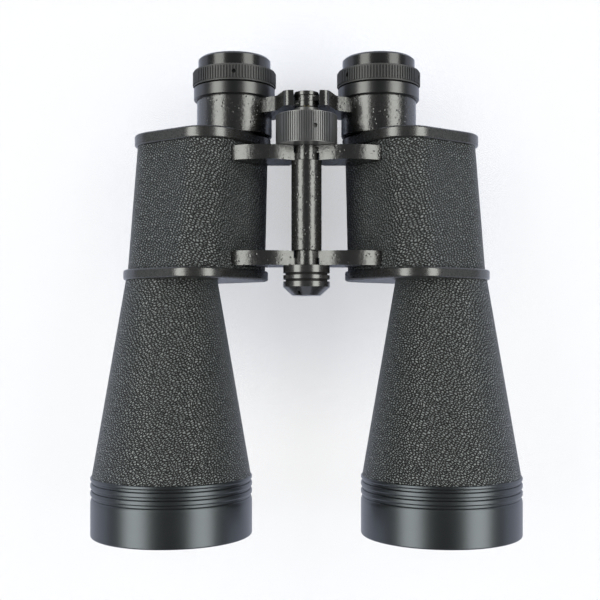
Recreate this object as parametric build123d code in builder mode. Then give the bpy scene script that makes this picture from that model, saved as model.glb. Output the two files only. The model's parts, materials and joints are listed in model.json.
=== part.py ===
"""Porro prism binoculars lying hinge side up, with the eyepieces towards +Y and the objectives towards -Y.

The right half is drawn on the +X side of the hinge and mirrored for the left half.
Z = 0 is the table, which the objective rings and the housing covers touch.
"""

import math
import os

from build123d import *

# Driving dimensions in millimetres, axes first
pupil_distance = 64.6
objective_spacing = 119.4
eyepiece_drop = 20.0
objective_drop = 15.0

# Lengths along the optical axes, from the front of the objective ring to the rim of the eyecup
ring_length = 26.1
tube_length = 86.0
objective_cover_thickness = 4.5
housing_length = 54.8
eyepiece_cover_thickness = 5.1
holder_length = 15.6
collar_length = 6.1
grip_ring_length = 6.9
eyecup_length = 5.9

# Radii of the turned pieces
ring_radius = 35.5
ring_wall = 4.5
tube_step = 0.6
tube_small_radius = 20.2
barrel_radius = 13.1
barrel_wall = 1.3
sleeve_clearance = 0.8
sleeve_wall = 1.1
holder_wall = 1.6
collar_step = 1.4
grip_ring_step = 0.5
eyecup_step = 2.45
wheel_radius = 13.2
hinge_tube_radius = 6.5
knuckle_radius = 4.9
axle_radius = 3.4
spindle_radius = 2.2
cap_radius = 10.0

# Housing section, measured from the hinge axis along and across the prisms; housing_seat is straight down
housing_inner = 23.6
housing_seat = 50.5
housing_outer = 76.0
housing_top = 35.0
housing_corner = 15.0
tube_rim = 1.1

# Hinge and bridge
lug_thickness = 6.2
lug_overlap = 11.0
lug_crown = 6.4
lug_inner_drop = 3.8
lug_outer_drop = 5.7
lug_peak_share = 0.46
lug_depth = 12.5
lug_root = 4.1
front_lug_setback = 1.2
rear_lug_setback = 2.5
arm_thickness = 6.4
arm_crown = 6.0
arm_shoulder = 3.8
arm_bend = 3.2
arm_setback = 0.5
wheel_length = 12.9
cap_length = 12.7
bridge_cap_thickness = 1.7

# Walls and skins
housing_wall = 2.6
skin_thickness = 0.9
cover_lip = 1.3
tube_side_lip = 2.0
tube_wall = 2.2
shelf_thickness = 3.0

# Clearances
bond_gap = 0.03
turning_gap = 0.05
sliding_gap = 0.1
face_gap = 0.1
running_gap = 0.25
lap_gap = 0.6
lens_gap = 0.05
shelf_clearance = 0.25

# The objective tube and lens follow the ring
tube_large_radius = ring_radius - tube_step
lens_radius = ring_radius - ring_wall

# The pieces round the ocular barrel follow it from the inside out
sleeve_bore = barrel_radius + sleeve_clearance
sleeve_radius = sleeve_bore + sleeve_wall
holder_radius = sleeve_radius + sliding_gap + holder_wall
collar_radius = holder_radius + collar_step
grip_ring_radius = collar_radius + grip_ring_step
eyecup_radius = grip_ring_radius - eyecup_step

# Heights above the table and places across it
objective_height = ring_radius
hinge_height = objective_height + objective_drop
eyepiece_height = hinge_height - eyepiece_drop
eyepiece_x = pupil_distance / 2
objective_x = objective_spacing / 2

# The two prisms carry the axis sideways and then across by the same offset
axis_shift_x = objective_x - eyepiece_x
axis_shift_z = objective_height - eyepiece_height
prism_offset = math.hypot(axis_shift_x, axis_shift_z) / math.sqrt(2)
housing_turn = math.pi / 4 - math.atan2(axis_shift_z, axis_shift_x)
along_x = math.cos(housing_turn)
along_z = -math.sin(housing_turn)
along = Vector(along_x, 0, along_z)
across = Vector(-along_z, 0, along_x)

# Stations along Y
ring_front = -0.5 * (ring_length + tube_length + objective_cover_thickness + housing_length
                     + eyepiece_cover_thickness + running_gap + holder_length + collar_length
                     + grip_ring_length + eyecup_length)
ring_rear = ring_front + ring_length
cover_front = ring_rear + tube_length
housing_front = cover_front + objective_cover_thickness
housing_rear = housing_front + housing_length
cover_rear = housing_rear + eyepiece_cover_thickness
holder_front = cover_rear + running_gap
holder_rear = holder_front + holder_length
collar_rear = holder_rear + collar_length
grip_ring_rear = collar_rear + grip_ring_length
eyecup_rear = grip_ring_rear + eyecup_length
front_lug_rear = housing_front + front_lug_setback + lug_thickness
rear_lug_rear = housing_rear - rear_lug_setback
cap_rear = front_lug_rear - lug_thickness - face_gap
wheel_front = rear_lug_rear + running_gap
wheel_rear = wheel_front + wheel_length
arm_rear = holder_rear - arm_setback
arm_front = arm_rear - arm_thickness
bridge_cap_front = arm_rear - bridge_cap_thickness
knuckle_thickness = (bridge_cap_front - arm_front) / 2 - face_gap
half_lug = (lug_thickness - face_gap) / 2
shelf_rear = (housing_front + housing_rear + shelf_thickness) / 2
shelf_front = shelf_rear - shelf_thickness


def cross_plane(y):
    """Plane across the barrels at y, centred on the hinge, with sketch X to the right and sketch Y up."""
    return Plane(origin=(0, y, hinge_height), x_dir=(1, 0, 0), z_dir=(0, -1, 0))


def prism_plane(y):
    """Plane across the barrels at y, centred on the hinge and turned to follow the right housing."""
    return Plane(origin=(0, y, hinge_height), x_dir=along, z_dir=(0, -1, 0))


def turning_plane(x, z):
    """Plane for a turned piece: sketch X runs along its axis and sketch Y is the radius."""
    return Plane(origin=(x, 0, z), x_dir=(0, 1, 0), z_dir=(0, 0, -1))


def turning_axis(x, z):
    return Axis((x, 0, z), (0, 1, 0))


def in_housing(x, z):
    """Place of a point, given from the hinge, along and across the prisms."""
    return (x * along_x + z * along_z, -x * along_z + z * along_x)


eyepiece_spot = in_housing(eyepiece_x, -eyepiece_drop)
objective_spot = in_housing(objective_x, -objective_drop)
middle_spot = (objective_spot[0], eyepiece_spot[1])
tube_seat_radius = tube_small_radius + tube_rim


def front_share(y):
    """How far y lies from the eyepiece end of the housing (0) to its objective end (1)."""
    return (housing_rear - y) / housing_length


def housing_size(y):
    """Outer side, bottom, top and crown radius of the cover outline at y, lowest corner at housing_seat."""
    share = front_share(y)
    outer = housing_outer + share * (objective_spot[0] + tube_seat_radius - housing_outer)
    top = housing_top + share * (objective_spot[1] + tube_seat_radius - housing_top)
    crown = housing_corner + share * (tube_seat_radius - housing_corner)
    corner_height = (housing_corner - housing_seat - (outer - housing_corner) * along_z) / along_x
    return outer, corner_height - housing_corner, top, crown


def housing_outline(y, depths):
    """Rounded outline at y, set in from the cover outline on the hinge and table sides, then elsewhere."""
    outer, bottom, top, crown = housing_size(y)
    near_depth, far_depth = depths
    left = housing_inner + near_depth
    right = outer - far_depth
    low = bottom + near_depth
    high = top - far_depth
    corner = housing_corner - near_depth
    crown_corner = crown - far_depth
    with BuildSketch(prism_plane(y)) as outline:
        with BuildLine():
            base = Line((left + corner, low), (right - corner, low))
            turn_out = JernArc(base @ 1, (1, 0), corner, 90)
            side = Line(turn_out @ 1, (right, high - crown_corner))
            turn_up = JernArc(side @ 1, (0, 1), crown_corner, 90)
            roof = Line(turn_up @ 1, (left + corner, high))
            turn_in = JernArc(roof @ 1, (-1, 0), corner, 90)
            wall = Line(turn_in @ 1, (left, low + corner))
            JernArc(wall @ 1, (0, -1), corner, 90)
        make_face()
    return outline.sketch


def skin_depths(y, extra=0.0):
    """How far the leatherette's outside lies in from the cover outline at y, plus extra."""
    return cover_lip + extra, cover_lip + front_share(y) * (tube_side_lip - cover_lip) + extra


def bond_depths(y):
    return skin_depths(y, skin_thickness)


def metal_depths(y):
    return skin_depths(y, skin_thickness + bond_gap)


def cavity_depths(y):
    return skin_depths(y, skin_thickness + bond_gap + housing_wall)


def shelf_depths(y):
    return skin_depths(y, skin_thickness + bond_gap + housing_wall + shelf_clearance)


def housing_body(depths_at, mode=Mode.ADD):
    """Solid between the two covers, set in from the cover outline by depths_at(y)."""
    ends = [housing_outline(y, depths_at(y)) for y in (housing_rear, housing_front)]
    loft(ends, ruled=True, mode=mode)


lug_reach = housing_inner + lug_overlap
lug_neck = knuckle_radius + lap_gap
lug_peak = lug_neck + lug_peak_share * (lug_reach - lug_neck)
casting_corner = 1.2


def lug_outline(margin=0.0):
    """Sketch of a hinge lug, its crown arched from the hinge out into the housing, grown by margin."""
    with BuildSketch() as outline:
        with BuildLine():
            crown = ThreePointArc(
                (lug_neck, lug_crown - lug_inner_drop + margin),
                (lug_peak, lug_crown + margin),
                (lug_reach + margin, lug_crown - lug_outer_drop + margin),
            )
            Polyline(
                crown @ 1,
                (lug_reach + margin, -lug_depth - margin),
                (lug_neck + lug_root / 2 - margin, -lug_depth - margin),
                (lug_neck - lug_root / 2, -lug_root),
                (0, -lug_root),
                (0, lug_crown - lug_inner_drop + margin),
                crown @ 0,
            )
        make_face()
        fillet(outline.vertices().sort_by(Axis.X)[-2:], casting_corner)
    return outline.sketch


def spots(plane, places, radius):
    """Sketch of equal circles on a plane."""
    with BuildSketch(plane) as circles:
        with Locations(*places):
            Circle(radius)
    return circles.sketch


def disc(y, radius, length, mode=Mode.ADD):
    """Round slab on the hinge axis from y towards the objectives."""
    extrude(spots(cross_plane(y), [(0, 0)], radius), amount=length, mode=mode)


def knuckle(side_view, y, thickness):
    """Round end of a lug or arm, drawn at y and joined to it through the lap notch."""
    with BuildSketch(cross_plane(y)) as outline:
        add(side_view)
        Rectangle(2 * (knuckle_radius + 2 * lap_gap), 2 * lug_root, mode=Mode.INTERSECT)
        Circle(knuckle_radius)
    extrude(outline.sketch, amount=thickness)


def lapped_arm(side_view, y, thickness):
    """Full-thickness lug or arm from y towards the objectives, notched round and above the knuckles."""
    notch = knuckle_radius + lap_gap
    with BuildSketch(cross_plane(y)) as outline:
        add(side_view)
        Circle(notch, mode=Mode.SUBTRACT)
        Rectangle(2 * notch, 2 * notch, align=(Align.CENTER, Align.MIN), mode=Mode.SUBTRACT)
    extrude(outline.sketch, amount=thickness)


cover_screw_radius = 0.8
cover_screw_head = 1.8
cover_screw_grip = 3.0
cover_screw_shift = 6.0


def screw_spots(y):
    """Centres of the three cover screws, in the middle of the wall half way down the screws at end y."""
    inside = y + math.copysign(cover_screw_grip / 2, housing_front + housing_length / 2 - y)
    outer, bottom, top, crown = housing_size(inside)
    near_depth, far_depth = metal_depths(inside)
    low = bottom + near_depth + housing_wall / 2
    right = outer - far_depth - housing_wall / 2
    high = top - far_depth - housing_wall / 2
    middle = (housing_inner + outer) / 2
    return [(right, (bottom + top) / 2), (middle, low), (middle - cover_screw_shift, high)]


def screw_holes():
    """Pilot holes for the cover screws in both ends of the housing."""
    for y, sense in ((housing_rear, 1), (housing_front, -1)):
        holes = spots(prism_plane(y), screw_spots(y), cover_screw_radius + bond_gap)
        extrude(holes, amount=sense * cover_screw_grip, mode=Mode.SUBTRACT)


def prism_housing(knuckle_lead):
    """Cast housing of the right half, its knuckles set knuckle_lead below the rear face of each lug."""
    with BuildPart() as housing:
        housing_body(metal_depths)
        for rear in (front_lug_rear, rear_lug_rear):
            lapped_arm(lug_outline(), rear, lug_thickness)
            knuckle(lug_outline(), rear - knuckle_lead, half_lug)
        housing_body(cavity_depths, Mode.SUBTRACT)
        disc(rear_lug_rear, axle_radius + turning_gap, rear_lug_rear - cap_rear, Mode.SUBTRACT)
        screw_holes()
    return housing.part


def housing_leatherette():
    with BuildPart() as skin:
        housing_body(skin_depths)
        housing_body(bond_depths, Mode.SUBTRACT)
        for rear in (front_lug_rear, rear_lug_rear):
            with BuildSketch(cross_plane(rear + face_gap)):
                add(lug_outline(face_gap))
            extrude(amount=lug_thickness + 2 * face_gap, mode=Mode.SUBTRACT)
    return skin.part


cover_edge = 1.0


def cover(y, face, sense):
    """Cover on the housing end at y, with its outer face at face and its screw holes countersunk there."""
    extrude(housing_outline(y, (0, 0)), amount=y - face)
    rims = edges().group_by(Axis.Y)
    fillet(rims[0] + rims[-1], cover_edge)
    heads = spots(prism_plane(face), screw_spots(y), cover_screw_head + bond_gap)
    extrude(heads, amount=sense * (cover_screw_head - cover_screw_radius), taper=45, mode=Mode.SUBTRACT)
    holes = spots(prism_plane(face), screw_spots(y), cover_screw_radius + bond_gap)
    extrude(holes, amount=face - y, mode=Mode.SUBTRACT)


sleeve_spigot_step = 0.5
sleeve_spigot_radius = barrel_radius - sleeve_spigot_step


def eyepiece_cover():
    with BuildPart() as plate:
        cover(housing_rear, cover_rear, 1)
        hole = spots(prism_plane(cover_rear), [eyepiece_spot], sleeve_spigot_radius + turning_gap)
        extrude(hole, amount=eyepiece_cover_thickness, mode=Mode.SUBTRACT)
    return plate.part


tube_small_bore = tube_small_radius - skin_thickness - tube_wall


def objective_cover():
    with BuildPart() as plate:
        cover(housing_front, cover_front, -1)
        hole = spots(prism_plane(housing_front), [objective_spot], tube_small_bore)
        extrude(hole, amount=objective_cover_thickness, mode=Mode.SUBTRACT)
    return plate.part


def cover_screws():
    """Six countersunk screws, three in each cover."""
    with BuildPart() as screws:
        for face, y, sense in ((cover_rear, housing_rear, 1), (cover_front, housing_front, -1)):
            heads = spots(prism_plane(face), screw_spots(y), cover_screw_head)
            extrude(heads, amount=sense * (cover_screw_head - cover_screw_radius), taper=45)
            shanks = spots(prism_plane(face), screw_spots(y), cover_screw_radius)
            extrude(shanks, amount=face - y + sense * (cover_screw_grip - face_gap))
    return screws.part


def turned(x, z, *points):
    """Closed profile of (y, radius) points turned about the axis through x, z along Y."""
    with BuildPart() as piece:
        with BuildSketch(turning_plane(x, z)):
            with BuildLine():
                Polyline(*points, close=True)
            make_face()
        revolve(axis=turning_axis(x, z))
    return piece.part


spigot_length = 5.0
spigot_step = 1.0
spigot_radius = tube_large_radius - skin_thickness - spigot_step
spigot_front = ring_rear - spigot_length
tube_large_bore = spigot_radius - tube_wall


def objective_tube():
    return turned(
        objective_x, objective_height,
        (cover_front, tube_small_bore),
        (cover_front, tube_small_radius - skin_thickness - bond_gap),
        (ring_rear, tube_large_radius - skin_thickness - bond_gap),
        (ring_rear, spigot_radius),
        (spigot_front, spigot_radius),
        (spigot_front, tube_large_bore),
    )


def tube_leatherette():
    return turned(
        objective_x, objective_height,
        (cover_front, tube_small_radius - skin_thickness),
        (cover_front, tube_small_radius),
        (ring_rear, tube_large_radius),
        (ring_rear, tube_large_radius - skin_thickness),
    )


def sag(curve, radius):
    """Depth of a spherical face at its rim."""
    return curve - math.sqrt(curve * curve - radius * radius)


cell_wall = 1.2
cell_lip = 1.0
hood_step = 0.9
hood_setback = 1.2
cell_radius = lens_radius + lens_gap + cell_wall
flint_centre = 2.4
crown_edge = 1.7
front_curve = 140.0
joint_curve = 110.0
retainer_thickness = 2.2
cell_rear = spigot_front - face_gap
lens_back = cell_rear - cell_lip
joint_vertex = lens_back - flint_centre
lens_front = joint_vertex - crown_edge - sag(front_curve, lens_radius) - sag(joint_curve, lens_radius)
retainer_rear = lens_front + sag(front_curve, lens_radius - cell_lip) - lens_gap
cell_front = retainer_rear - retainer_thickness
hood_radius = cell_radius + hood_step
hood_rear = lens_front - hood_setback
ring_groove_depth = 0.9
ring_groove_width = 1.0
ring_groove_pitch = 3.3
ring_edge = 0.8


def objective_ring():
    """Turned ring with three grip grooves near its rear edge and a hood in front of the lens."""
    with BuildPart() as ring:
        with BuildSketch(turning_plane(objective_x, objective_height)):
            with BuildLine():
                Polyline(
                    (ring_front, hood_radius + ring_edge),
                    (ring_front, ring_radius - ring_edge),
                    (ring_front + ring_edge, ring_radius),
                    (ring_rear - ring_edge / 2, ring_radius),
                    (ring_rear, ring_radius - ring_edge / 2),
                    (ring_rear, spigot_radius + turning_gap),
                    (spigot_front, spigot_radius + turning_gap),
                    (spigot_front, cell_radius + turning_gap),
                    (hood_rear, cell_radius + turning_gap),
                    (hood_rear, hood_radius),
                    (ring_front + ring_edge, hood_radius),
                    close=True,
                )
            make_face()
            with Locations((ring_rear - ring_groove_pitch / 2 - ring_groove_width / 2, ring_radius)):
                with GridLocations(ring_groove_pitch, 1, 3, 1, align=(Align.MAX, Align.CENTER)):
                    Rectangle(ring_groove_width, 2 * ring_groove_depth, mode=Mode.SUBTRACT)
        revolve(axis=turning_axis(objective_x, objective_height))
    return ring.part


def objective_cell():
    return turned(
        objective_x, objective_height,
        (cell_front, lens_radius + lens_gap),
        (cell_front, cell_radius),
        (cell_rear, cell_radius),
        (cell_rear, lens_radius - cell_lip),
        (lens_back, lens_radius - cell_lip),
        (lens_back, lens_radius + lens_gap),
    )


def lens_retainer():
    return turned(
        objective_x, objective_height,
        (cell_front, lens_radius - cell_lip),
        (cell_front, lens_radius),
        (retainer_rear, lens_radius),
        (retainer_rear, lens_radius - cell_lip),
    )


def lens(x, z, radius, front, front_curve_radius, back, back_curve_radius):
    """Lens between two vertices; a positive curve radius has its centre towards +Y, and 0 means flat."""
    faces = ((front, front_curve_radius), (back, back_curve_radius))
    rims = []
    for vertex, curve in faces:
        rims.append(vertex + math.copysign(sag(abs(curve), radius), curve) if curve else vertex)
    with BuildPart() as glass:
        with BuildSketch(turning_plane(x, z)):
            with BuildLine():
                for (vertex, curve), rim in zip(faces, rims):
                    if curve:
                        half = math.copysign(sag(abs(curve), radius / 2), curve)
                        ThreePointArc((vertex, 0), (vertex + half, radius / 2), (rim, radius))
                    else:
                        Line((vertex, 0), (vertex, radius))
                Line((rims[0], radius), (rims[1], radius))
                Line((front, 0), (back, 0))
            make_face()
        revolve(axis=turning_axis(x, z))
    return glass.part


def crown_lens():
    vertices = (lens_front, front_curve, joint_vertex, -joint_curve)
    return lens(objective_x, objective_height, lens_radius, *vertices)


def flint_lens():
    vertices = (joint_vertex + bond_gap, -joint_curve, lens_back, 0)
    return lens(objective_x, objective_height, lens_radius, *vertices)


light_radius = 0.46 * prism_offset
prism_width = 0.9 * prism_offset
prism_end_trim = 1.2
prism_apex_flat = 1.2


def prism_shelf():
    """Plate across the middle of the housing with a light hole at each of the three axes."""
    with BuildPart() as shelf:
        extrude(housing_outline(shelf_rear, shelf_depths(shelf_rear)), amount=shelf_thickness)
        light = spots(prism_plane(shelf_rear), [eyepiece_spot, middle_spot, objective_spot], light_radius)
        extrude(light, amount=shelf_thickness, mode=Mode.SUBTRACT)
    return shelf.part


def seat_plane(spot, y, long_way, sense):
    """Plane through a prism's middle: sketch X follows long_way, sketch Y leaves the shelf by sense * Y."""
    origin = Vector(0, y, hinge_height) + along * spot[0] + across * spot[1]
    return Plane(origin=origin, x_dir=long_way, z_dir=long_way.cross(Vector(0, sense, 0)))


def half_way(first, second):
    return ((first[0] + second[0]) / 2, (first[1] + second[1]) / 2)


def porro_prism(spot, y, long_way, turn, sense):
    """Right-angle prism with rounded ends, its long face on the shelf at y."""
    with BuildPart() as prism:
        with BuildSketch(prism_plane(y)):
            with Locations(spot):
                SlotOverall(2 * (prism_offset - prism_end_trim), prism_width, rotation=turn)
        extrude(amount=-sense * prism_offset)
        with BuildSketch(seat_plane(spot, y, long_way, sense)):
            with BuildLine():
                Polyline(
                    (-prism_offset, 0),
                    (prism_offset, 0),
                    (prism_apex_flat, prism_offset - prism_apex_flat),
                    (-prism_apex_flat, prism_offset - prism_apex_flat),
                    close=True,
                )
            make_face()
        extrude(amount=prism_width, both=True, mode=Mode.INTERSECT)
    return prism.part


def rear_prism():
    return porro_prism(half_way(middle_spot, objective_spot), shelf_rear + bond_gap, across, 90, 1)


def front_prism():
    return porro_prism(half_way(middle_spot, eyepiece_spot), shelf_front - bond_gap, along, 0, -1)


clip_width = 6.0
clip_thickness = 0.8


def prism_clips():
    """Two straps, each over the ridge of a prism with its legs standing on the shelf."""
    seats = (
        (half_way(middle_spot, objective_spot), shelf_rear, along, 1),
        (half_way(middle_spot, eyepiece_spot), shelf_front, across, -1),
    )
    inside = prism_width / 2 + face_gap
    height = prism_offset - prism_apex_flat + 2 * bond_gap
    with BuildPart() as clips:
        for spot, y, wide_way, sense in seats:
            with BuildSketch(seat_plane(spot, y, wide_way, sense)):
                standing = (Align.CENTER, Align.MIN)
                Rectangle(2 * (inside + clip_thickness), height + clip_thickness, align=standing)
                Rectangle(2 * inside, height, align=standing, mode=Mode.SUBTRACT)
            extrude(amount=clip_width / 2, both=True)
    return clips.part


strap_lug_radius = 4.2
strap_hole_radius = 2.3
strap_lug_thickness = 5.0
strap_lug_setback = 9.0
strap_lug_rise = 4.0
strap_lug_sink = 0.4


def strap_lug():
    """Eyelet on the lower outer side of the housing, its hole along Y."""
    y = housing_rear - strap_lug_setback
    outer, bottom, top, crown = housing_size(y - strap_lug_thickness)
    skin_side = outer - skin_depths(y - strap_lug_thickness)[1]
    centre = (skin_side + strap_lug_radius - strap_lug_sink, bottom + housing_corner + strap_lug_rise)
    with BuildPart() as eyelet:
        with BuildSketch(prism_plane(y)):
            with Locations(centre):
                Circle(strap_lug_radius)
            with Locations((skin_side, centre[1])):
                Rectangle(strap_lug_radius, 2 * strap_lug_radius, align=(Align.MIN, Align.CENTER))
            with Locations(centre):
                Circle(strap_hole_radius, mode=Mode.SUBTRACT)
        extrude(amount=strap_lug_thickness)
        housing_body(skin_depths, Mode.SUBTRACT)
    return eyelet.part


sleeve_floor = 1.6
sleeve_setback = 3.8
sleeve_spigot_wall = 1.2
sleeve_rear = holder_rear - sleeve_setback
sleeve_light = sleeve_spigot_radius - sleeve_spigot_wall


def guide_sleeve():
    return turned(
        eyepiece_x, eyepiece_height,
        (housing_rear, sleeve_light),
        (housing_rear, sleeve_spigot_radius),
        (cover_rear, sleeve_spigot_radius),
        (cover_rear, sleeve_radius),
        (sleeve_rear, sleeve_radius),
        (sleeve_rear, sleeve_bore),
        (cover_rear + sleeve_floor, sleeve_bore),
        (cover_rear + sleeve_floor, sleeve_light),
    )


arm_foot = holder_radius / 2


def arm_outline():
    """Sketch of a bridge arm from the hinge axis down to the eyepiece tube."""
    with BuildSketch() as outline:
        with BuildLine():
            crown = FilletPolyline(
                (0, arm_crown),
                (lug_neck + arm_shoulder, arm_crown),
                (0.40 * eyepiece_x, -0.24 * eyepiece_drop),
                (0.54 * eyepiece_x, -0.37 * eyepiece_drop),
                (eyepiece_x - arm_foot, arm_foot - eyepiece_drop),
                radius=arm_bend,
            )
            Polyline(
                crown @ 1,
                (eyepiece_x - arm_foot, -eyepiece_drop - arm_foot),
                (0.45 * eyepiece_x, -1.25 * eyepiece_drop),
                (lug_neck - lug_root / 2, -lug_root),
                (0, -lug_root),
                crown @ 0,
            )
        make_face()
    return outline.sketch


holder_shoulder = 2.4


def eyepiece_holder(knuckle_rear):
    """Bridge arm of the right half, its knuckle, and the eyepiece tube that slides on the guide sleeve."""
    axis = [(eyepiece_x, -eyepiece_drop)]
    bore_rear = holder_rear - holder_shoulder
    with BuildPart() as holder:
        lapped_arm(arm_outline(), arm_rear, arm_thickness)
        knuckle(arm_outline(), knuckle_rear, knuckle_thickness)
        extrude(spots(cross_plane(holder_rear), axis, holder_radius), amount=holder_length)
        neck = spots(cross_plane(holder_rear), axis, barrel_radius + sliding_gap)
        extrude(neck, amount=holder_length, mode=Mode.SUBTRACT)
        bore = spots(cross_plane(bore_rear), axis, sleeve_radius + sliding_gap)
        extrude(bore, amount=bore_rear - holder_front, mode=Mode.SUBTRACT)
        disc(arm_rear, spindle_radius + turning_gap, arm_thickness, Mode.SUBTRACT)
    return holder.part


collar_edge = 0.5
collar_clearance = 0.5


def eyepiece_collar():
    front = holder_rear
    rear = collar_rear - running_gap
    return turned(
        eyepiece_x, eyepiece_height,
        (front, barrel_radius + collar_clearance),
        (front, collar_radius - collar_edge),
        (front + collar_edge, collar_radius),
        (rear - collar_edge, collar_radius),
        (rear, collar_radius - collar_edge),
        (rear, barrel_radius + collar_clearance),
    )


rib_count = 90
rib_depth = 0.45
ring_screw_radius = 0.9
ring_screw_count = 3
ring_screw_sink = 0.9
right_first_screw = -52
left_first_screw = -3
eyecup_spigot_step = 1.3
eyecup_spigot = eyecup_radius - eyecup_spigot_step
eyecup_seat = 2.3


def ribs(plane, centre, radius, count):
    """Sketch of a round outline with straight-sided ribs."""
    with BuildSketch(plane) as outline:
        with Locations(centre):
            Circle(radius)
            with PolarLocations(radius, count):
                Rectangle(2 * rib_depth, math.pi * radius / count, mode=Mode.SUBTRACT)
    return outline.sketch


def screw_plane(y, angle):
    """Plane through the eyepiece axis at y, facing out at angle from straight up, towards +X."""
    out = Vector(math.sin(math.radians(angle)), 0, math.cos(math.radians(angle)))
    return Plane(origin=(eyepiece_x, y, eyepiece_height), x_dir=(0, 1, 0), z_dir=out)


def screw_angles(first_screw):
    return [first_screw + index * 360 / ring_screw_count for index in range(ring_screw_count)]


grip_ring_middle = (collar_rear + grip_ring_rear) / 2
grip_ring_edge = 0.7


def grip_ring(first_screw):
    """Ribbed ring round the top of the ocular barrel, with three radial screw holes."""
    axis = (eyepiece_x, -eyepiece_drop)
    with BuildPart() as ring:
        body = spots(cross_plane(grip_ring_rear), [axis], grip_ring_radius - rib_depth)
        extrude(body, amount=grip_ring_length)
        grip = ribs(cross_plane(grip_ring_rear - grip_ring_edge), axis, grip_ring_radius, rib_count)
        extrude(grip, amount=grip_ring_length - 2 * grip_ring_edge)
        bore = spots(cross_plane(grip_ring_rear), [axis], barrel_radius + turning_gap)
        extrude(bore, amount=grip_ring_length, mode=Mode.SUBTRACT)
        seat = spots(cross_plane(grip_ring_rear), [axis], eyecup_spigot + turning_gap)
        extrude(seat, amount=eyecup_seat, mode=Mode.SUBTRACT)
        for angle in screw_angles(first_screw):
            hole = spots(screw_plane(grip_ring_middle, angle), [(0, 0)], ring_screw_radius + bond_gap)
            extrude(hole, amount=grip_ring_radius, mode=Mode.SUBTRACT)
    return ring.part


def ring_screws(first_screw):
    """Three grub screws sunk in the grip ring."""
    inside = barrel_radius + turning_gap + face_gap
    length = grip_ring_radius - ring_screw_sink - inside
    with BuildPart() as screws:
        for angle in screw_angles(first_screw):
            end = spots(screw_plane(grip_ring_middle, angle).offset(inside), [(0, 0)], ring_screw_radius)
            extrude(end, amount=length)
    return screws.part


eyecup_edge = 0.9
eyecup_rim = 1.3
eyecup_floor = 2.8
eyecup_opening = barrel_radius - barrel_wall - 1.6


def eyecup():
    seat_front = grip_ring_rear - eyecup_seat + face_gap
    return turned(
        eyepiece_x, eyepiece_height,
        (seat_front, eyecup_opening),
        (seat_front, eyecup_spigot),
        (grip_ring_rear, eyecup_spigot),
        (grip_ring_rear, eyecup_radius),
        (eyecup_rear - eyecup_edge, eyecup_radius),
        (eyecup_rear, eyecup_radius - eyecup_edge),
        (eyecup_rear, eyecup_radius - eyecup_edge - eyecup_rim),
        (seat_front + eyecup_floor, eyecup_opening),
    )


barrel_setback = 3.2
barrel_front = cover_rear + barrel_setback
barrel_rear = grip_ring_rear - eyecup_seat - face_gap
barrel_bore = barrel_radius - barrel_wall
barrel_lip = 1.0
lip_thickness = 0.8
stop_depth = 2.4
stop_setback = 3.0


def ocular_barrel():
    """Lens barrel with a lip at each end and a field stop between the lenses."""
    stop_front = holder_rear - stop_setback
    return turned(
        eyepiece_x, eyepiece_height,
        (barrel_front, barrel_bore - barrel_lip),
        (barrel_front, barrel_radius),
        (barrel_rear, barrel_radius),
        (barrel_rear, barrel_bore - barrel_lip),
        (barrel_rear - lip_thickness, barrel_bore - barrel_lip),
        (barrel_rear - lip_thickness, barrel_bore),
        (stop_front + lip_thickness, barrel_bore),
        (stop_front + lip_thickness, barrel_bore - stop_depth),
        (stop_front, barrel_bore - stop_depth),
        (stop_front, barrel_bore),
        (barrel_front + lip_thickness, barrel_bore),
        (barrel_front + lip_thickness, barrel_bore - barrel_lip),
    )


ocular_curve = 24.0
ocular_edge = 1.6


def field_lens():
    radius = barrel_bore - lens_gap
    front = barrel_front + lip_thickness + lens_gap
    rear = front + ocular_edge + sag(ocular_curve, radius)
    return lens(eyepiece_x, eyepiece_height, radius, front, 0, rear, -ocular_curve)


def eye_lens():
    radius = barrel_bore - lens_gap
    rear = barrel_rear - lip_thickness - lens_gap
    front = rear - ocular_edge - sag(ocular_curve, radius)
    return lens(eyepiece_x, eyepiece_height, radius, front, ocular_curve, rear, 0)


def save(name, piece):
    piece.label = name
    export_step(piece, f"parts/{name}.step")


def save_mirrored(name, piece):
    """Saves the mirror image of a piece drawn for the right half."""
    with BuildPart() as twin:
        mirror(piece, about=Plane.YZ)
    save(name, twin.part)


def save_pair(name, piece):
    save("right_" + name, piece)
    save_mirrored("left_" + name, piece)


os.makedirs("parts", exist_ok=True)

save("right_prism_housing", prism_housing(0))
save_mirrored("left_prism_housing", prism_housing(half_lug + face_gap))
save_pair("housing_leatherette", housing_leatherette())
save_pair("eyepiece_cover", eyepiece_cover())
save_pair("objective_cover", objective_cover())
save_pair("cover_screws", cover_screws())
save_pair("objective_tube", objective_tube())
save_pair("tube_leatherette", tube_leatherette())
save_pair("objective_ring", objective_ring())
save_pair("objective_cell", objective_cell())
save_pair("crown_lens", crown_lens())
save_pair("flint_lens", flint_lens())
save_pair("lens_retainer", lens_retainer())
save_pair("prism_shelf", prism_shelf())
save_pair("rear_prism", rear_prism())
save_pair("front_prism", front_prism())
save_pair("prism_clips", prism_clips())
save_pair("strap_lug", strap_lug())
save_pair("guide_sleeve", guide_sleeve())
save("right_eyepiece_holder", eyepiece_holder(bridge_cap_front - face_gap))
save_mirrored("left_eyepiece_holder", eyepiece_holder(arm_front + knuckle_thickness))
save_pair("eyepiece_collar", eyepiece_collar())
save("right_grip_ring", grip_ring(right_first_screw))
save_mirrored("left_grip_ring", grip_ring(left_first_screw))
save("right_ring_screws", ring_screws(right_first_screw))
save_mirrored("left_ring_screws", ring_screws(left_first_screw))
save_pair("eyecup", eyecup())
save_pair("ocular_barrel", ocular_barrel())
save_pair("field_lens", field_lens())
save_pair("eye_lens", eye_lens())

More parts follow.
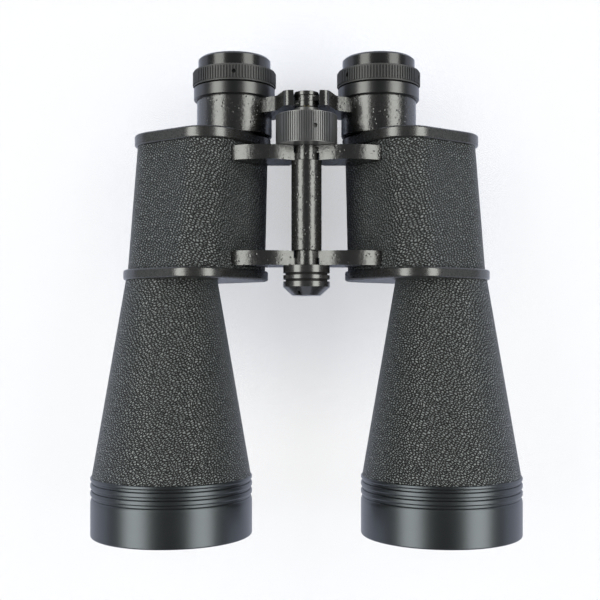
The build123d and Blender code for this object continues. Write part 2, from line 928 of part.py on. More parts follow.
with BuildPart() as hinge_tube:
    disc(rear_lug_rear - lug_thickness - face_gap, hinge_tube_radius,
         rear_lug_rear - lug_thickness - front_lug_rear - 2 * face_gap)
    disc(rear_lug_rear, axle_radius + turning_gap, rear_lug_rear - cap_rear, Mode.SUBTRACT)
save("hinge_tube", hinge_tube.part)

axle_setback = 4.0
axle_front = cap_rear - cap_length + axle_setback
axle_rear = wheel_front + wheel_length / 2
spindle_bore_front = (front_lug_rear + rear_lug_rear) / 2

with BuildPart() as hinge_axle:
    disc(axle_rear, axle_radius, axle_rear - axle_front)
    disc(axle_rear, spindle_radius + sliding_gap, axle_rear - spindle_bore_front, Mode.SUBTRACT)
save("hinge_axle", hinge_axle.part)

cap_front = cap_rear - cap_length
cap_groove = 1.0
cap_groove_setback = 3.6
cap_groove_pitch = 2.7
cap_nose = 6.1
cap_nose_length = 3.6
slot_width = 1.2
slot_depth = 1.8
slot_turn = 26

with BuildPart() as hinge_cap:
    with BuildSketch(turning_plane(0, hinge_height)):
        with BuildLine():
            Polyline(
                (cap_front, 0),
                (cap_front, cap_nose),
                (cap_front + cap_nose_length, cap_radius),
                (cap_rear, cap_radius),
                (cap_rear, axle_radius + turning_gap),
                (axle_front - face_gap, axle_radius + turning_gap),
                (axle_front - face_gap, 0),
                close=True,
            )
        make_face()
        with Locations((cap_rear - cap_groove_setback, cap_radius)):
            with GridLocations(cap_groove_pitch, 1, 2, 1, align=(Align.MAX, Align.CENTER)):
                Rectangle(cap_groove, 2 * cap_groove, mode=Mode.SUBTRACT)
    revolve(axis=turning_axis(0, hinge_height))
    with BuildSketch(cross_plane(cap_front + slot_depth)):
        Rectangle(slot_width, 2 * cap_radius, rotation=slot_turn)
    extrude(amount=slot_depth, mode=Mode.SUBTRACT)
save("hinge_cap", hinge_cap.part)

wheel_rib_count = 84
wheel_edge = 0.35
wheel_neck_radius = spindle_radius + 3.0
wheel_neck_gap = 0.5
wheel_neck_rear = arm_front - wheel_neck_gap
wheel_screw_radius = 1.0
wheel_screw_length = 4.0
wheel_screw_sink = 0.8

wheel_screw_angle = math.radians(16)
wheel_screw_plane = Plane(
    origin=(0, (wheel_front + wheel_rear) / 2, hinge_height),
    x_dir=(0, 1, 0),
    z_dir=(math.sin(wheel_screw_angle), 0, math.cos(wheel_screw_angle)),
).offset(wheel_radius - rib_depth - wheel_screw_sink - wheel_screw_length)

with BuildPart() as focus_wheel:
    disc(wheel_rear, wheel_radius - rib_depth, wheel_length)
    grip = ribs(cross_plane(wheel_rear - wheel_edge), (0, 0), wheel_radius, wheel_rib_count)
    extrude(grip, amount=wheel_length - 2 * wheel_edge)
    disc(wheel_neck_rear, wheel_neck_radius, wheel_neck_rear - wheel_rear)
    disc(wheel_neck_rear, spindle_radius + turning_gap, wheel_neck_rear - wheel_front, Mode.SUBTRACT)
    disc(axle_rear + face_gap, axle_radius + turning_gap, axle_rear + face_gap - wheel_front, Mode.SUBTRACT)
    hole = spots(wheel_screw_plane, [(0, 0)], wheel_screw_radius + bond_gap)
    extrude(hole, amount=2 * wheel_screw_length, mode=Mode.SUBTRACT)
save("focus_wheel", focus_wheel.part)

with BuildPart() as wheel_screw:
    extrude(spots(wheel_screw_plane, [(0, 0)], wheel_screw_radius), amount=wheel_screw_length)
save("wheel_screw", wheel_screw.part)

spindle_travel = 5.0
spindle_front = spindle_bore_front + spindle_travel
cap_stud_radius = 1.2
cap_stud_length = 6.0
bridge_cap_radius = knuckle_radius + lap_gap - running_gap
bridge_slot_depth = 0.6

with BuildPart() as focus_spindle:
    disc(bridge_cap_front, spindle_radius, bridge_cap_front - spindle_front)
    disc(bridge_cap_front, cap_stud_radius + turning_gap, cap_stud_length + face_gap, Mode.SUBTRACT)
save("focus_spindle", focus_spindle.part)

with BuildPart() as bridge_cap:
    disc(arm_rear, bridge_cap_radius, bridge_cap_thickness)
    disc(bridge_cap_front, cap_stud_radius, cap_stud_length)
    with BuildSketch(cross_plane(arm_rear)):
        Rectangle(2 * bridge_cap_radius, slot_width)
    extrude(amount=bridge_slot_depth, mode=Mode.SUBTRACT)
save("bridge_cap", bridge_cap.part)
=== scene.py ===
# %% [markdown]
# # Binoculars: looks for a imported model
#
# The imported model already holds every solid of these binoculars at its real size, lying hinge side up
# with the eyepieces towards +Y. This file gives each surface its finish, swaps a few hard-edged solids
# for pieces with rounded edges, and sets up a floor, a soft studio light and a camera straight above.

# %% Load the model
import bmesh
import bpy
import json
import math
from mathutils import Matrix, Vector

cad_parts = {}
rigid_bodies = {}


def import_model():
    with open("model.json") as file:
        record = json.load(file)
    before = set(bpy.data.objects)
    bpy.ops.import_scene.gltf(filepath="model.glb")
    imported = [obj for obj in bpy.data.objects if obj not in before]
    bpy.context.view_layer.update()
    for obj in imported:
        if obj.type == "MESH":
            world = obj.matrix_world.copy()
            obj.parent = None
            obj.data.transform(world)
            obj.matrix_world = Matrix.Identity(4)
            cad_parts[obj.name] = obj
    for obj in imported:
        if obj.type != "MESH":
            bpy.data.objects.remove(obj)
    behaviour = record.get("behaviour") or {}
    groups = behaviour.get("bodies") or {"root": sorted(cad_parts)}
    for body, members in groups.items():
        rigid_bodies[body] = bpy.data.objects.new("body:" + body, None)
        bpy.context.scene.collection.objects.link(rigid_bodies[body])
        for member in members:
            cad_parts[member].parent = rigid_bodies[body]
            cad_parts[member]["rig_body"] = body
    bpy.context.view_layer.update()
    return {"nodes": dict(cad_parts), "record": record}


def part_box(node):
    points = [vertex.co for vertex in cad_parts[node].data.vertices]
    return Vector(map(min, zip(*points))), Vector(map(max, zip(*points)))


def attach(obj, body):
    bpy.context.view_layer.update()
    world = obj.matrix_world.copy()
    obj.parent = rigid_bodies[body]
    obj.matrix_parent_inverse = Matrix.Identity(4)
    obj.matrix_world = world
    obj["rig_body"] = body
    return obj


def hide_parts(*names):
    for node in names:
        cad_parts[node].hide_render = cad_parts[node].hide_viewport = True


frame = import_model()
nodes = frame["nodes"]
mm = 0.001

# %% [markdown]
# ## Shader maths as Python expressions
#
# A finish is a small network of nodes. Writing `1 - mask * 0.3` is easier to read than two Math nodes
# and their links, so one class wraps a node's output, and Python's operators add the Math nodes. Every
# other kind of node comes from its `node` method: settings first, then the values or links of the sockets.

# %% A node output that Python's operators can work on
class Signal:
    def __init__(self, tree, socket=None):
        self.tree = tree
        self.socket = socket

    def node(self, kind, settings=None, inputs=None, output=0):
        made = self.tree.nodes.new(kind)
        for name, value in (settings or {}).items():
            setattr(made, name, value)
        for name, value in (inputs or {}).items():
            if isinstance(value, Signal):
                self.tree.links.new(value.socket, made.inputs[name])
            else:
                made.inputs[name].default_value = value
        return Signal(self.tree, made.outputs[output])

    def math(self, operation, first, second=0.0):
        return self.node("ShaderNodeMath", {"operation": operation}, {0: first, 1: second})

    def __add__(self, other):
        return self.math("ADD", self, other)

    def __sub__(self, other):
        return self.math("SUBTRACT", self, other)

    def __rsub__(self, other):
        return self.math("SUBTRACT", other, self)

    def __mul__(self, other):
        return self.math("MULTIPLY", self, other)

    __radd__ = __add__
    __rmul__ = __mul__

    def step(self, low, high):
        """0 below low, 1 above high, and a smooth rise between them."""
        settings = {"interpolation_type": "SMOOTHSTEP"}
        return self.node("ShaderNodeMapRange", settings, {"Value": self, "From Min": low, "From Max": high})

    def tint(self, dark, light):
        """Colour that goes from dark at 0 to light at 1."""
        colours = {"Factor": self, 6: (*dark, 1), 7: (*light, 1)}
        return self.node("ShaderNodeMix", {"data_type": "RGBA"}, colours, output=2)

# %% [markdown]
# ## Starting a finish
#
# Every material here has one Principled shader. Values that are the same all over a surface are set on
# the shader's own sockets, and patterns drive only colour, roughness, coat and bump. The patterns read
# Object coordinates in metres, because each piece's place is in its mesh, so a grain has the same size
# on every piece. The finished materials are kept by the name of the record's material slot.

# %% Helpers that start a material, drive its shader and keep it
def start_finish(name, **constants):
    material = bpy.data.materials.new(name)
    material.use_nodes = True
    shader = material.node_tree.nodes["Principled BSDF"]
    for socket, value in constants.items():
        shader.inputs[socket.replace("_", " ")].default_value = value
    return material, Signal(material.node_tree)


def places(start, grain=(mm, mm, mm)):
    """Object coordinates counted in grains of this size."""
    where = start.node("ShaderNodeTexCoord", output="Object")
    return start.node("ShaderNodeMapping", {"vector_type": "TEXTURE"}, {"Vector": where, "Scale": grain})


def drive(material, **signals):
    """Links signals to the sockets of the material's Principled shader."""
    shader = material.node_tree.nodes["Principled BSDF"]
    for socket, signal in signals.items():
        material.node_tree.links.new(signal.socket, shader.inputs[socket.replace("_", " ")])


def bumped(height, depth, strength=1.0):
    """Normal of a surface with height from 0 to 1 standing depth metres proud."""
    return height.node("ShaderNodeBump", None, {"Height": height, "Distance": depth, "Strength": strength})


def noise(where, scale, detail=2.0):
    return where.node("ShaderNodeTexNoise", None, {"Vector": where, "Scale": scale, "Detail": detail})


finishes = {}


def keep(slot, material):
    finishes[slot] = material
    print(slot, "is", material.name, "with", len(material.node_tree.nodes), "nodes")


# %% [markdown]
# ## Leatherette
#
# The housings and barrels are wrapped in black leatherette with a pebbled grain: small raised pads,
# about twice as long as wide, with creases between them. A Voronoi pattern that gives the distance to
# the nearest cell edge is exactly that: low along the creases and high on the pads. In 3-D the surface
# would slice some cells near their tips, and pads would come out in all sizes. A sheet has only two
# directions, so the pattern is made in 2-D, on the sheet as it was before it was wrapped.
#
# A housing's sheet is a strip: the angle about the housing's middle line times a radius, and Y. A
# barrel's sheet, laid flat, is a piece of a ring round the tip of the cone. Both have their seam below.
# Slow noise lets the rows of pads drift, and the pads lean differently on the two sheets. The colour
# holds painted light: the tops of the pads are painted lighter as a sheen, and the creases black as shade.

# %% A flat sheet for a wrapped skin
def wrapped(start, node_name, cone_slope):
    """Places on the sheet that is wrapped round a right-hand node, and on the left by mirror.

    The slope of a cone is how much its radius grows along its side, and 0 is a housing."""
    low, high = (Vector(corner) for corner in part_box(node_name))
    middle = (low + high) / 2
    place = start.node("ShaderNodeTexCoord", output="Object")
    x, y, z = (start.node("ShaderNodeSeparateXYZ", None, {0: place}, output=axis) for axis in "XYZ")
    across = start.math("ABSOLUTE", x) - middle.x
    above = z - middle.z
    angle = start.math("ARCTAN2", across, above)
    if not cone_slope:
        radius = (high.x - low.x + high.z - low.z) / 4
        return start.node("ShaderNodeCombineXYZ", None, {"X": angle * radius, "Y": y})
    from_tip = start.math("SQRT", across * across + above * above) * (1 / cone_slope)
    fan = angle * cone_slope
    side = from_tip * start.math("SINE", fan)
    along = from_tip * start.math("COSINE", fan) * -1
    return start.node("ShaderNodeCombineXYZ", None, {"X": side, "Y": along})


# %% Leatherette on the housings and on the barrels
def leatherette(name, node_name, cone_slope, lean, pad_length):
    """Leatherette whose pads lean by this many degrees from straight round the tube."""
    material, start = start_finish(name, IOR=1.4)
    pad_width, pad_height = pad_length * 0.54, pad_length * 0.2
    # Painted light: the creases are painted black as shade, and the pad tops are painted lighter as a
    # sheen.
    painted_crease_shade, painted_pad_sheen = (0.0, 0.0, 0.0), (0.158, 0.169, 0.171)
    drift_reach = (1.2, 2.4, 0.0)
    sheet = wrapped(start, node_name, cone_slope)
    grain = {"Vector": sheet, "Rotation": (0, 0, math.radians(lean)), "Scale": (pad_length, pad_width, 1)}
    where = start.node("ShaderNodeMapping", {"vector_type": "TEXTURE"}, grain)
    slow = {"Vector": where, "Scale": 0.2, "Detail": 2.0}
    drift = start.node("ShaderNodeTexNoise", {"noise_dimensions": "2D"}, slow, output="Color")
    drifted = {0: drift, 1: drift_reach, 2: where}
    rows = start.node("ShaderNodeVectorMath", {"operation": "MULTIPLY_ADD"}, drifted)
    cells = {"voronoi_dimensions": "2D", "feature": "DISTANCE_TO_EDGE"}
    spread = {"Vector": rows, "Scale": 1.0, "Randomness": 0.8}
    crease = start.node("ShaderNodeTexVoronoi", cells, spread)
    # The pad tops get the painted sheen and less roughness, and the creases keep the painted shade.
    pad_top_sheen = crease.step(0.08, 0.40)
    drive(
        material,
        Base_Color=pad_top_sheen.tint(painted_crease_shade, painted_pad_sheen),
        Roughness=0.5 - pad_top_sheen * 0.16,
        Normal=bumped(crease.step(0.0, 0.34), pad_height),
    )
    return material


barrel_slope = 0.17
keep("leatherette", leatherette("housing_leatherette", "right_housing_leatherette", 0, 25, 1.65 * mm))
tube_skin = leatherette("tube_leatherette", "right_tube_leatherette", barrel_slope, -30, 1.5 * mm)
print("the barrels have", tube_skin.name)

# %% [markdown]
# ## Hammered paint
#
# The castings that carry the hinge and the eyepieces have a thick gloss black paint. It is slightly
# lumpy, with a few pits where a bubble broke. Modelled lumps would need a very fine mesh, so they are
# bump: low noise gives the lumps, the pits are the middles of Voronoi cells, and wide noise keeps the
# pits to some patches.

# %% Hammered paint
def hammered_paint():
    material, start = start_finish("hammered_black_paint", IOR=1.82)
    # The second colour is painted shade: the pits are coloured darker, as shade in the hollows.
    paint_black, painted_pit_shade = (0.010, 0.010, 0.0095), (0.003, 0.003, 0.003)
    lump_height = 0.2 * mm
    where = places(start)
    lumps = noise(where, 0.8)
    cells = start.node("ShaderNodeTexVoronoi", None, {"Vector": where, "Scale": 0.55}, output="Distance")
    pits_and_painted_shade = (1 - cells.step(0.10, 0.32)) * noise(where, 0.15, 1.0).step(0.44, 0.54)
    drive(
        material,
        # The pits get the painted shade in colour, and their real hollows in roughness and bump.
        Base_Color=pits_and_painted_shade.tint(paint_black, painted_pit_shade),
        Roughness=0.18 + lumps * 0.14 + pits_and_painted_shade * 0.1,
        Normal=bumped(lumps * 0.5 - pits_and_painted_shade * 0.7, lump_height, 0.7),
    )
    return material


keep("hammered_casting", hammered_paint())

# %% [markdown]
# ## Satin paint
#
# The two cover plates of each housing have a satin paint with a fine orange-peel, left by the spray.
# A plain colour would look like moulded plastic. Fine noise in the bump gives the peel, and the same
# noise in the roughness breaks up the highlight along the plate's edge.

# %% Satin paint
def satin_paint():
    material, start = start_finish("satin_black_paint", IOR=1.85)
    thin_black, thick_black = (0.010, 0.010, 0.0095), (0.018, 0.018, 0.017)
    peel_height = 0.05 * mm
    where = places(start)
    peel = noise(where, 0.9)
    patches = noise(where, 0.13)
    drive(
        material,
        Base_Color=patches.tint(thin_black, thick_black),
        Roughness=0.22 + peel * 0.12,
        Normal=bumped(peel, peel_height, 0.5),
    )
    return material


keep("satin_black", satin_paint())

# %% [markdown]
# ## Anodised rings
#
# The objective rings, collars, grip rings and the focusing wheel are turned aluminium with an anodised
# skin, and the tool left very fine rings that run round the axis. Modelling them isn't worth a mesh.
# Noise in grains that are wide across the axis and thin along Y gives them for every ring at once. The
# wheel is greyer than the rings, and the ribs of the grip rings are duller.

# %% Anodised aluminium
def anodised(name, light, rough, index, gloss=(1.0, 1.0, 1.0)):
    material, start = start_finish(name, IOR=index, Specular_Tint=(*gloss, 1.0))
    mark_width, mark_pitch, mark_height = 16 * mm, 0.19 * mm, 0.003 * mm
    marks = noise(places(start, grain=(mark_width, mark_pitch, mark_width)), 1.0)
    patches = noise(places(start), 0.09)
    drive(
        material,
        Base_Color=patches.tint((0.5 * light,) * 3, (light, light, 1.04 * light)),
        Roughness=rough + marks * 0.06,
        Normal=bumped(marks, mark_height, 0.3),
    )
    return material


keep("anodised_black", anodised("anodised_black_aluminium", 0.004, 0.27, 1.75))
keep("wheel_grey", anodised("anodised_dark_grey_aluminium", 0.085, 0.33, 1.8))
ribbed_grip = anodised("ribbed_black_aluminium", 0.035, 0.5, 1.6)
print("the grip rings have", ribbed_grip.name)

# %% [markdown]
# ## Plastic eyecups
#
# The eyecups are smooth black plastic, polished by use. They are nearly featureless, so the finish needs
# only a faint moulded grain and slow patches of wear, both from noise.

# %% Black plastic
def black_plastic():
    material, start = start_finish("black_plastic", IOR=1.55)
    new_black, worn_black = (0.008, 0.008, 0.008), (0.014, 0.014, 0.014)
    grain_height = 0.02 * mm
    where = places(start)
    grain = noise(where, 2.4)
    patches = noise(where, 0.15)
    drive(
        material,
        Base_Color=patches.tint(new_black, worn_black),
        Roughness=0.16 + grain * 0.1,
        Normal=bumped(grain, grain_height, 0.3),
    )
    return material


keep("black_plastic", black_plastic())

# %% [markdown]
# ## Gloss paint in the grooves
#
# The hinge cap and bridge cap have a gloss black paint that hands and cloths polish on the lands, while
# the grooves stay dull. The mask for that could be painted by hand. Ambient Occlusion measures it
# instead: it is low where the surface near by hides the sky, so the coat follows the shape by itself.

# %% Gloss paint that is dull in the grooves
def gloss_paint():
    material, start = start_finish("gloss_black_paint", IOR=1.3, Coat_IOR=1.8, Coat_Roughness=0.22)
    clean_black, dusty_black = (0.004, 0.004, 0.004), (0.012, 0.012, 0.0115)
    nearby = {"samples": 8, "only_local": True}
    open_sky = start.node("ShaderNodeAmbientOcclusion", nearby, {"Distance": 1.6 * mm}, output="AO")
    polished = open_sky.step(0.55, 0.9)
    dust = noise(places(start), 1.6)
    drive(
        material,
        Base_Color=dust.tint(clean_black, dusty_black),
        Roughness=0.62 - polished * 0.2 + dust * 0.1,
        Coat_Weight=polished,
    )
    return material


keep("gloss_black", gloss_paint())

# %% [markdown]
# ## Bare metal
#
# The screws are black steel, the axle is bright steel and the focusing spindle is brass. They were all
# turned, so one function makes the three, with the marks of the tool as for the anodised rings.

# %% Turned metal
def turned_metal(name, colour, rough):
    material, start = start_finish(name, Metallic=1.0)
    mark_width, mark_pitch, mark_height = 12 * mm, 0.24 * mm, 0.004 * mm
    marks = noise(places(start, grain=(mark_width, mark_pitch, mark_width)), 1.0)
    drive(
        material,
        Base_Color=marks.tint(tuple(0.8 * part for part in colour), colour),
        Roughness=rough + marks * 0.12,
        Normal=bumped(marks, mark_height, 0.4),
    )
    return material


keep("black_steel", turned_metal("black_oxide_steel", (0.045, 0.045, 0.045), 0.3))
keep("bright_steel", turned_metal("bright_steel", (0.55, 0.55, 0.54), 0.25))
keep("brass", turned_metal("turned_brass", (0.62, 0.48, 0.22), 0.25))

# %% [markdown]
# ## Glass
#
# Lenses and prisms are clear glass. The lenses are coated: a film of about a quarter of a wavelength
# gives them a coloured reflection. A tinted reflection could fake that, but the shader has a thin film
# of its own, whose colour changes with the angle as the real one's does. Traces of haze keep the glass
# from looking too clean.

# %% Glass with and without a coating
def optical_glass(name, film):
    coating = {"Thin_Film_Thickness": film, "Thin_Film_IOR": 1.38}
    material, start = start_finish(name, IOR=1.52, Transmission_Weight=1.0, **coating)
    clear_tint, hazy_tint = (0.93, 0.96, 0.95), (0.97, 0.98, 0.97)
    haze = noise(places(start), 0.22)
    drive(material, Roughness=haze.step(0.62, 0.95) * 0.02, Base_Color=haze.tint(clear_tint, hazy_tint))
    return material


lens_film, no_film = 115.0, 0.0
keep("coated_glass", optical_glass("coated_lens_glass", lens_film))
keep("prism_glass", optical_glass("polished_prism_glass", no_film))

# %% [markdown]
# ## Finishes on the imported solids
#
# The record says which material slot each solid belongs to, so a loop over the record finishes all of
# them. The grip rings and the barrels' skins then get their own variants.

# %% Every node gets its finish
slot_of = {entry["node"]: entry["material_slot"] for entry in frame["record"]["subparts"]}
for name, slot in slot_of.items():
    shown = nodes[name].data.materials
    shown.clear()
    shown.append(finishes[slot])
for side in ("left_", "right_"):
    nodes[side + "grip_ring"].data.materials[0] = ribbed_grip
    nodes[side + "tube_leatherette"].data.materials[0] = tube_skin
print("finished", len(slot_of), "nodes from", len(finishes), "slots")

# %% [markdown]
# ## Castings with rounded edges
#
# Cast and painted edges are never sharp, and the thin highlight along them is what makes a casting look
# real. A Bevel node would only bend the light. Here the shape itself is rounded, so it also shows in the
# outline. A solid from CAD is a mesh of loose triangles, so a copy of it is merged first, flat areas are
# dissolved to single faces, and then every sharp edge gets a small bevel. The hinge cap is done in the
# same way, because its grooves have rounded lands.

# %% Smooth shading that keeps flat faces flat
def shade_by_area(mesh, sharp=50):
    """Smooth shading in which large faces lead, and faces more than sharp degrees apart stay apart."""
    mesh.shade_smooth()
    around = [[] for _ in mesh.vertices]
    for face in mesh.polygons:
        for index in face.vertices:
            around[index].append((face.normal.copy(), face.area))
    limit = math.cos(math.radians(sharp))
    corners = []
    for face in mesh.polygons:
        own = face.normal.copy()
        for index in face.vertices:
            near = [normal * area for normal, area in around[index] if normal.dot(own) > limit]
            corners.append(sum(near, Vector()).normalized())
    mesh.normals_split_custom_set(corners)


# %% A piece that stands in for a node
def show_instead(bm, piece_name, node_name):
    """Makes a piece of bm that stands in for a node, with its finish, on its body."""
    mesh = bpy.data.meshes.new(piece_name)
    bm.to_mesh(mesh)
    bm.free()
    shade_by_area(mesh)
    mesh.materials.append(finishes[slot_of[node_name]])
    piece = bpy.data.objects.new(piece_name, mesh)
    bpy.context.scene.collection.objects.link(piece)
    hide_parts(node_name)
    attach(piece, nodes[node_name]["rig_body"])
    return piece


# %% Rounded copies of hard-edged solids
def soften(name, width, sharp=35):
    """Copy of a node whose edges of more than sharp degrees are bevelled to this width."""
    same_place, flat = 1e-6, math.radians(0.5)
    bm = bmesh.new()
    bm.from_mesh(nodes[name].data)
    bmesh.ops.remove_doubles(bm, verts=bm.verts, dist=same_place)
    bmesh.ops.dissolve_limit(bm, angle_limit=flat, verts=bm.verts, edges=bm.edges)
    hard = [edge for edge in bm.edges if edge.calc_face_angle(0) > math.radians(sharp)]
    rounding = {"offset": width, "affect": "EDGES", "segments": 3, "profile": 0.5, "material": -1}
    bmesh.ops.bevel(bm, geom=hard, clamp_overlap=True, **rounding)
    return show_instead(bm, "rounded_" + name, name)


soft_edges = {"hinge_cap": 0.48 * mm, "bridge_cap": 0.3 * mm, "hinge_tube": 0.3 * mm}
casting_edge = 0.7 * mm
for side in ("left_", "right_"):
    soft_edges[side + "prism_housing"] = casting_edge
    soft_edges[side + "eyepiece_holder"] = casting_edge
for name, width in soft_edges.items():
    made = soften(name, width)
    print(made.name, len(made.data.polygons), "faces")

# %% [markdown]
# ## Turned objective rings
#
# The objective rings were turned on a lathe, and a lathe is also the way to model them: a profile goes
# once round the axis. The corners of the profile are rounded before the spin with a vertex bevel, each
# by its own radius, so the shoulder under the grooves catches a thin line of light. Their reflections
# have a painted blue tint, which stands in for bluish light around them.

# %% A lathe
def turn(piece_name, node_name, profile, steps=160):
    """Spins (distance from the front, radius, rounding) points in millimetres about the node's own axis."""
    low, high = (Vector(corner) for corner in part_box(node_name))
    middle = (low + high) / 2
    same_place = 1e-7
    bm = bmesh.new()
    spots = []
    for along, radius, _ in profile:
        spots.append(bm.verts.new((middle.x + radius * mm, low.y + along * mm, middle.z)))
    for index, spot in enumerate(spots):
        bm.edges.new((spots[index - 1], spot))
    for rounding in sorted({entry[2] for entry in profile if entry[2]}):
        corners = [spot for spot, entry in zip(spots, profile) if entry[2] == rounding]
        shape = {"offset": rounding * mm, "segments": 4, "profile": 0.5, "material": -1}
        bmesh.ops.bevel(bm, geom=corners, affect="VERTICES", **shape)
    outline = bm.verts[:] + bm.edges[:]
    once_round = {"angle": 2 * math.pi, "steps": steps, "use_merge": True}
    bmesh.ops.spin(bm, geom=outline, cent=middle, axis=(0, 1, 0), **once_round)
    bmesh.ops.remove_doubles(bm, verts=bm.verts, dist=same_place)
    bmesh.ops.recalc_face_normals(bm, faces=bm.faces)
    return show_instead(bm, piece_name, node_name)


# %% Objective rings with three rounded grip lands
def objective_ring_profile(node_name):
    """Points, in millimetres, from the front rim back over the grooves and forward through the bore."""
    low, high = (Vector(corner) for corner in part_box(node_name))
    length, radius = (high.y - low.y) / mm, (high.x - low.x) / 2 / mm
    groove, depth, pitch, rear_land = 1.0, 0.9, 3.3, 1.65
    land_round, shoulder_round, root_round, rear_round, rim_round = 0.7, 2.2, 0.1, 0.5, 0.6
    hood_bore, throat, spigot_bore = radius - 2.35, radius - 3.2, radius - 2.45
    hood_end, spigot_end = 6.77, length - 5
    outside = [(0, radius, land_round)]
    for count in (2, 1, 0):
        rear = length - rear_land - count * pitch
        front_round = shoulder_round if count == 2 else land_round
        outside += [(rear - groove, radius, front_round), (rear - groove, radius - depth, root_round)]
        outside += [(rear, radius - depth, root_round), (rear, radius, land_round)]
    inside = [(length, radius, rear_round), (length, spigot_bore, 0), (spigot_end, spigot_bore, 0)]
    inside += [(spigot_end, throat, 0), (hood_end, throat, 0), (hood_end, hood_bore, 0)]
    inside += [(0, hood_bore, rim_round)]
    return outside + inside


# The blue specular tint is a painted reflection, which stands in for bluish light around the rings.
ring_black_painted_blue_reflection = anodised("black_aluminium_painted_blue_reflection", 0.006, 0.31, 1.75, gloss=(0.84, 0.92, 1.0))
for side in ("left_", "right_"):
    ring = side + "objective_ring"
    made = turn(side + "grooved_ring", ring, objective_ring_profile(ring))
    made.data.materials[0] = ring_black_painted_blue_reflection
    print(made.name, len(made.data.polygons), "faces")

# %% [markdown]
# ## Floor
#
# The binoculars lie on white paper. A solid white floor would do from above. But at one end of the
# hinge's travel the right half swings below the table that the left half lies on, and a solid floor
# would cut it off. So the floor is lit as any surface is, and for the camera it is also partly clear,
# more so away from the hinge, with a white sky behind it. That keeps the shadow soft as well. Light
# passes the floor too, so the half below it is lit as it is above. Fine fibres break up the change from
# paper to clear, because a sharp limit would show as a ring.

# %% Rays that the camera sends straight through glass
def seen_through_glass(start):
    """1 for a camera ray that was only refracted so far, 0 for one that also met a surface in a tube."""
    refracted = start.node("ShaderNodeLightPath", output="Is Transmission Ray")
    scattered = start.node("ShaderNodeLightPath", output="Diffuse Depth")
    reflected = start.node("ShaderNodeLightPath", output="Glossy Depth")
    return refracted * (1 - (scattered + reflected).step(0.0, 1.0))


# %% How clear the paper is
def clear_share(start):
    """How much of the paper each ray passes, from 0 to 1, and where the paper is far from the hinge."""
    hinge_spot = (0.0, 40 * mm, 0.0)
    near_hinge, beside_rings, off_table = 0.5, 0.38, 0.12
    fibre_contrast = 0.6
    place = start.node("ShaderNodeTexCoord", output="Object")
    apart = {0: place, 1: hinge_spot}
    distance = start.node("ShaderNodeVectorMath", {"operation": "DISTANCE"}, apart, output="Value")
    far = distance.step(30 * mm, 120 * mm)
    away = distance.step(150 * mm, 400 * mm)
    scatter = {"noise_dimensions": "3D"}
    fibres = start.node("ShaderNodeTexWhiteNoise", scatter, {"Vector": place}, output="Value")
    grainy = far + (fibres - 0.5) * (1 - away) * fibre_contrast
    clearness = near_hinge + grainy * beside_rings + away * off_table
    camera_ray = start.node("ShaderNodeLightPath", output="Is Camera Ray")
    shadow_ray = start.node("ShaderNodeLightPath", output="Is Shadow Ray")
    from_below = start.node("ShaderNodeNewGeometry", output="Backfacing")
    showing = camera_ray * clearness + seen_through_glass(start)
    return start.math("MAXIMUM", start.math("MAXIMUM", from_below, shadow_ray), showing), far


# %% Floor
def stage_floor(half_size=4.0):
    bm = bmesh.new()
    bmesh.ops.create_grid(bm, x_segments=1, y_segments=1, size=half_size)
    mesh = bpy.data.meshes.new("paper_floor")
    bm.to_mesh(mesh)
    bm.free()
    floor = bpy.data.objects.new("paper_floor", mesh)
    bpy.context.scene.collection.objects.link(floor)
    paper_white, mirrored_white = (0.72, 0.77, 1.0, 1), (0.80, 0.85, 1.0, 1)
    material, start = start_finish("white_paper", Roughness=0.9, Base_Color=paper_white)
    passing, far = clear_share(start)
    mirrored = start.node("ShaderNodeLightPath", output="Is Glossy Ray")
    lit = Signal(start.tree, material.node_tree.nodes["Principled BSDF"].outputs[0])
    white = start.node("ShaderNodeEmission", None, {"Color": mirrored_white, "Strength": 1.0})
    clear = start.node("ShaderNodeBsdfTransparent")
    paper = start.node("ShaderNodeMixShader", None, {0: mirrored * far, 1: lit, 2: white})
    mixed = start.node("ShaderNodeMixShader", None, {0: passing, 1: paper, 2: clear})
    start.tree.links.new(mixed.socket, start.tree.nodes["Material Output"].inputs["Surface"])
    mesh.materials.append(material)
    return floor


print("floor", stage_floor().name)

# %% [markdown]
# ## Light
#
# Two long softboxes, left and right, make the bright bands along the tubes. The sky above is dim, so the
# middle of each tube stays dark between the bands. One large lamp overhead would be simpler, but it
# would put the band in the middle. The sky is white to the camera and through glass.

# %% Softboxes
def softbox(name, place, size, watts, colour):
    light = bpy.data.lights.new(name, "AREA")
    light.shape = "RECTANGLE"
    light.size, light.size_y = size
    light.energy = watts
    light.color = colour
    lamp = bpy.data.objects.new(name, light)
    lamp.location = place
    lamp.rotation_euler = (-Vector(place)).to_track_quat("-Z", "Y").to_euler()
    bpy.context.scene.collection.objects.link(lamp)
    return lamp


box_reach, box_height, box_size = 0.76, 0.74, (1.5, 0.58)
box_watts, box_colour = 14.0, (0.985, 1.0, 0.94)
for name, side in (("left", -1), ("right", 1)):
    lamp = softbox(name + "_softbox", (box_reach * side, 0.0, box_height), box_size, box_watts, box_colour)
    print(lamp.name, lamp.data.energy, "W")


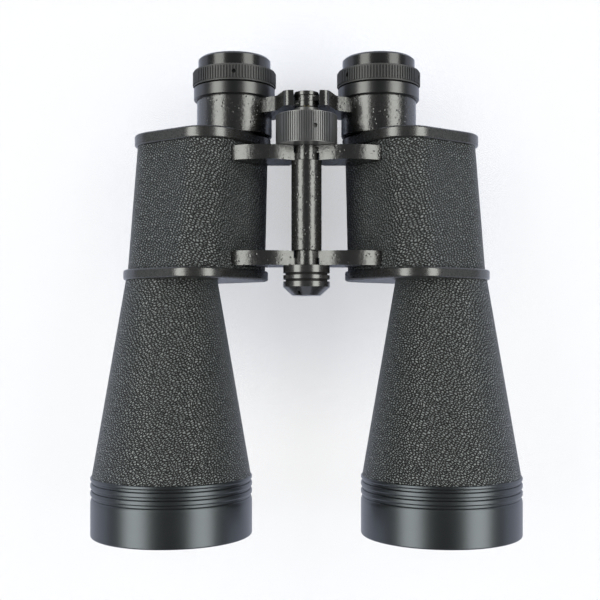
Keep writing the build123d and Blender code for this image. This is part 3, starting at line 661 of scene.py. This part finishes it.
# %% Sky
def studio_sky():
    """Dim above, bluish near the horizon, dark below it, and white to the camera and through glass."""
    world = bpy.data.worlds.new("studio_sky")
    bpy.context.scene.world = world
    world.use_nodes = True
    start = Signal(world.node_tree)
    sky_blue, white = (0.80, 0.88, 1.0, 1), (1, 1, 1, 1)
    towards = start.node("ShaderNodeTexCoord", output="Generated")
    height = start.node("ShaderNodeSeparateXYZ", None, {0: towards}, output="Z")
    below = start.node("ShaderNodeBackground", None, {"Color": sky_blue, "Strength": 0.0})
    around = start.node("ShaderNodeBackground", None, {"Color": sky_blue, "Strength": 0.25})
    above = start.node("ShaderNodeBackground", None, {"Color": sky_blue, "Strength": 0.08})
    backdrop = start.node("ShaderNodeBackground", None, {"Color": white, "Strength": 1.0})
    low_sky = start.node("ShaderNodeMixShader", None, {0: height.step(-0.02, 0.0), 1: below, 2: around})
    dim = start.node("ShaderNodeMixShader", None, {0: height.step(0.04, 0.34), 1: low_sky, 2: above})
    camera_ray = start.node("ShaderNodeLightPath", output="Is Camera Ray")
    seen = camera_ray + seen_through_glass(start)
    sky = start.node("ShaderNodeMixShader", None, {0: seen, 1: dim, 2: backdrop})
    world.node_tree.links.new(sky.socket, world.node_tree.nodes["World Output"].inputs["Surface"])
    return world


bpy.context.scene.view_settings.view_transform = "Standard"
print("sky", studio_sky().name)

# %% [markdown]
# ## Camera
#
# The photograph was taken from straight above, about half a metre over the table. The point below the
# lens isn't the middle of the picture, so the camera has a small shift instead of a tilt, which would
# make the barrels converge.

# %% Camera
camera = bpy.data.objects.new("camera", bpy.data.cameras.new("camera"))
bpy.context.scene.collection.objects.link(camera)
bpy.context.scene.camera = camera
frame_pixels, focal_pixels = 600, 1016
below_lens = (306.5, 330.5)
camera.location = (0.0, -15.62 * mm, 486.35 * mm)
camera.data.sensor_width = 36.0
camera.data.lens = camera.data.sensor_width * focal_pixels / frame_pixels
camera.data.shift_x = (frame_pixels / 2 - below_lens[0]) / frame_pixels
camera.data.shift_y = (below_lens[1] - frame_pixels / 2) / frame_pixels
camera.data.clip_start = 10 * mm
print("camera", [round(part, 4) for part in camera.location], "lens", round(camera.data.lens, 2))
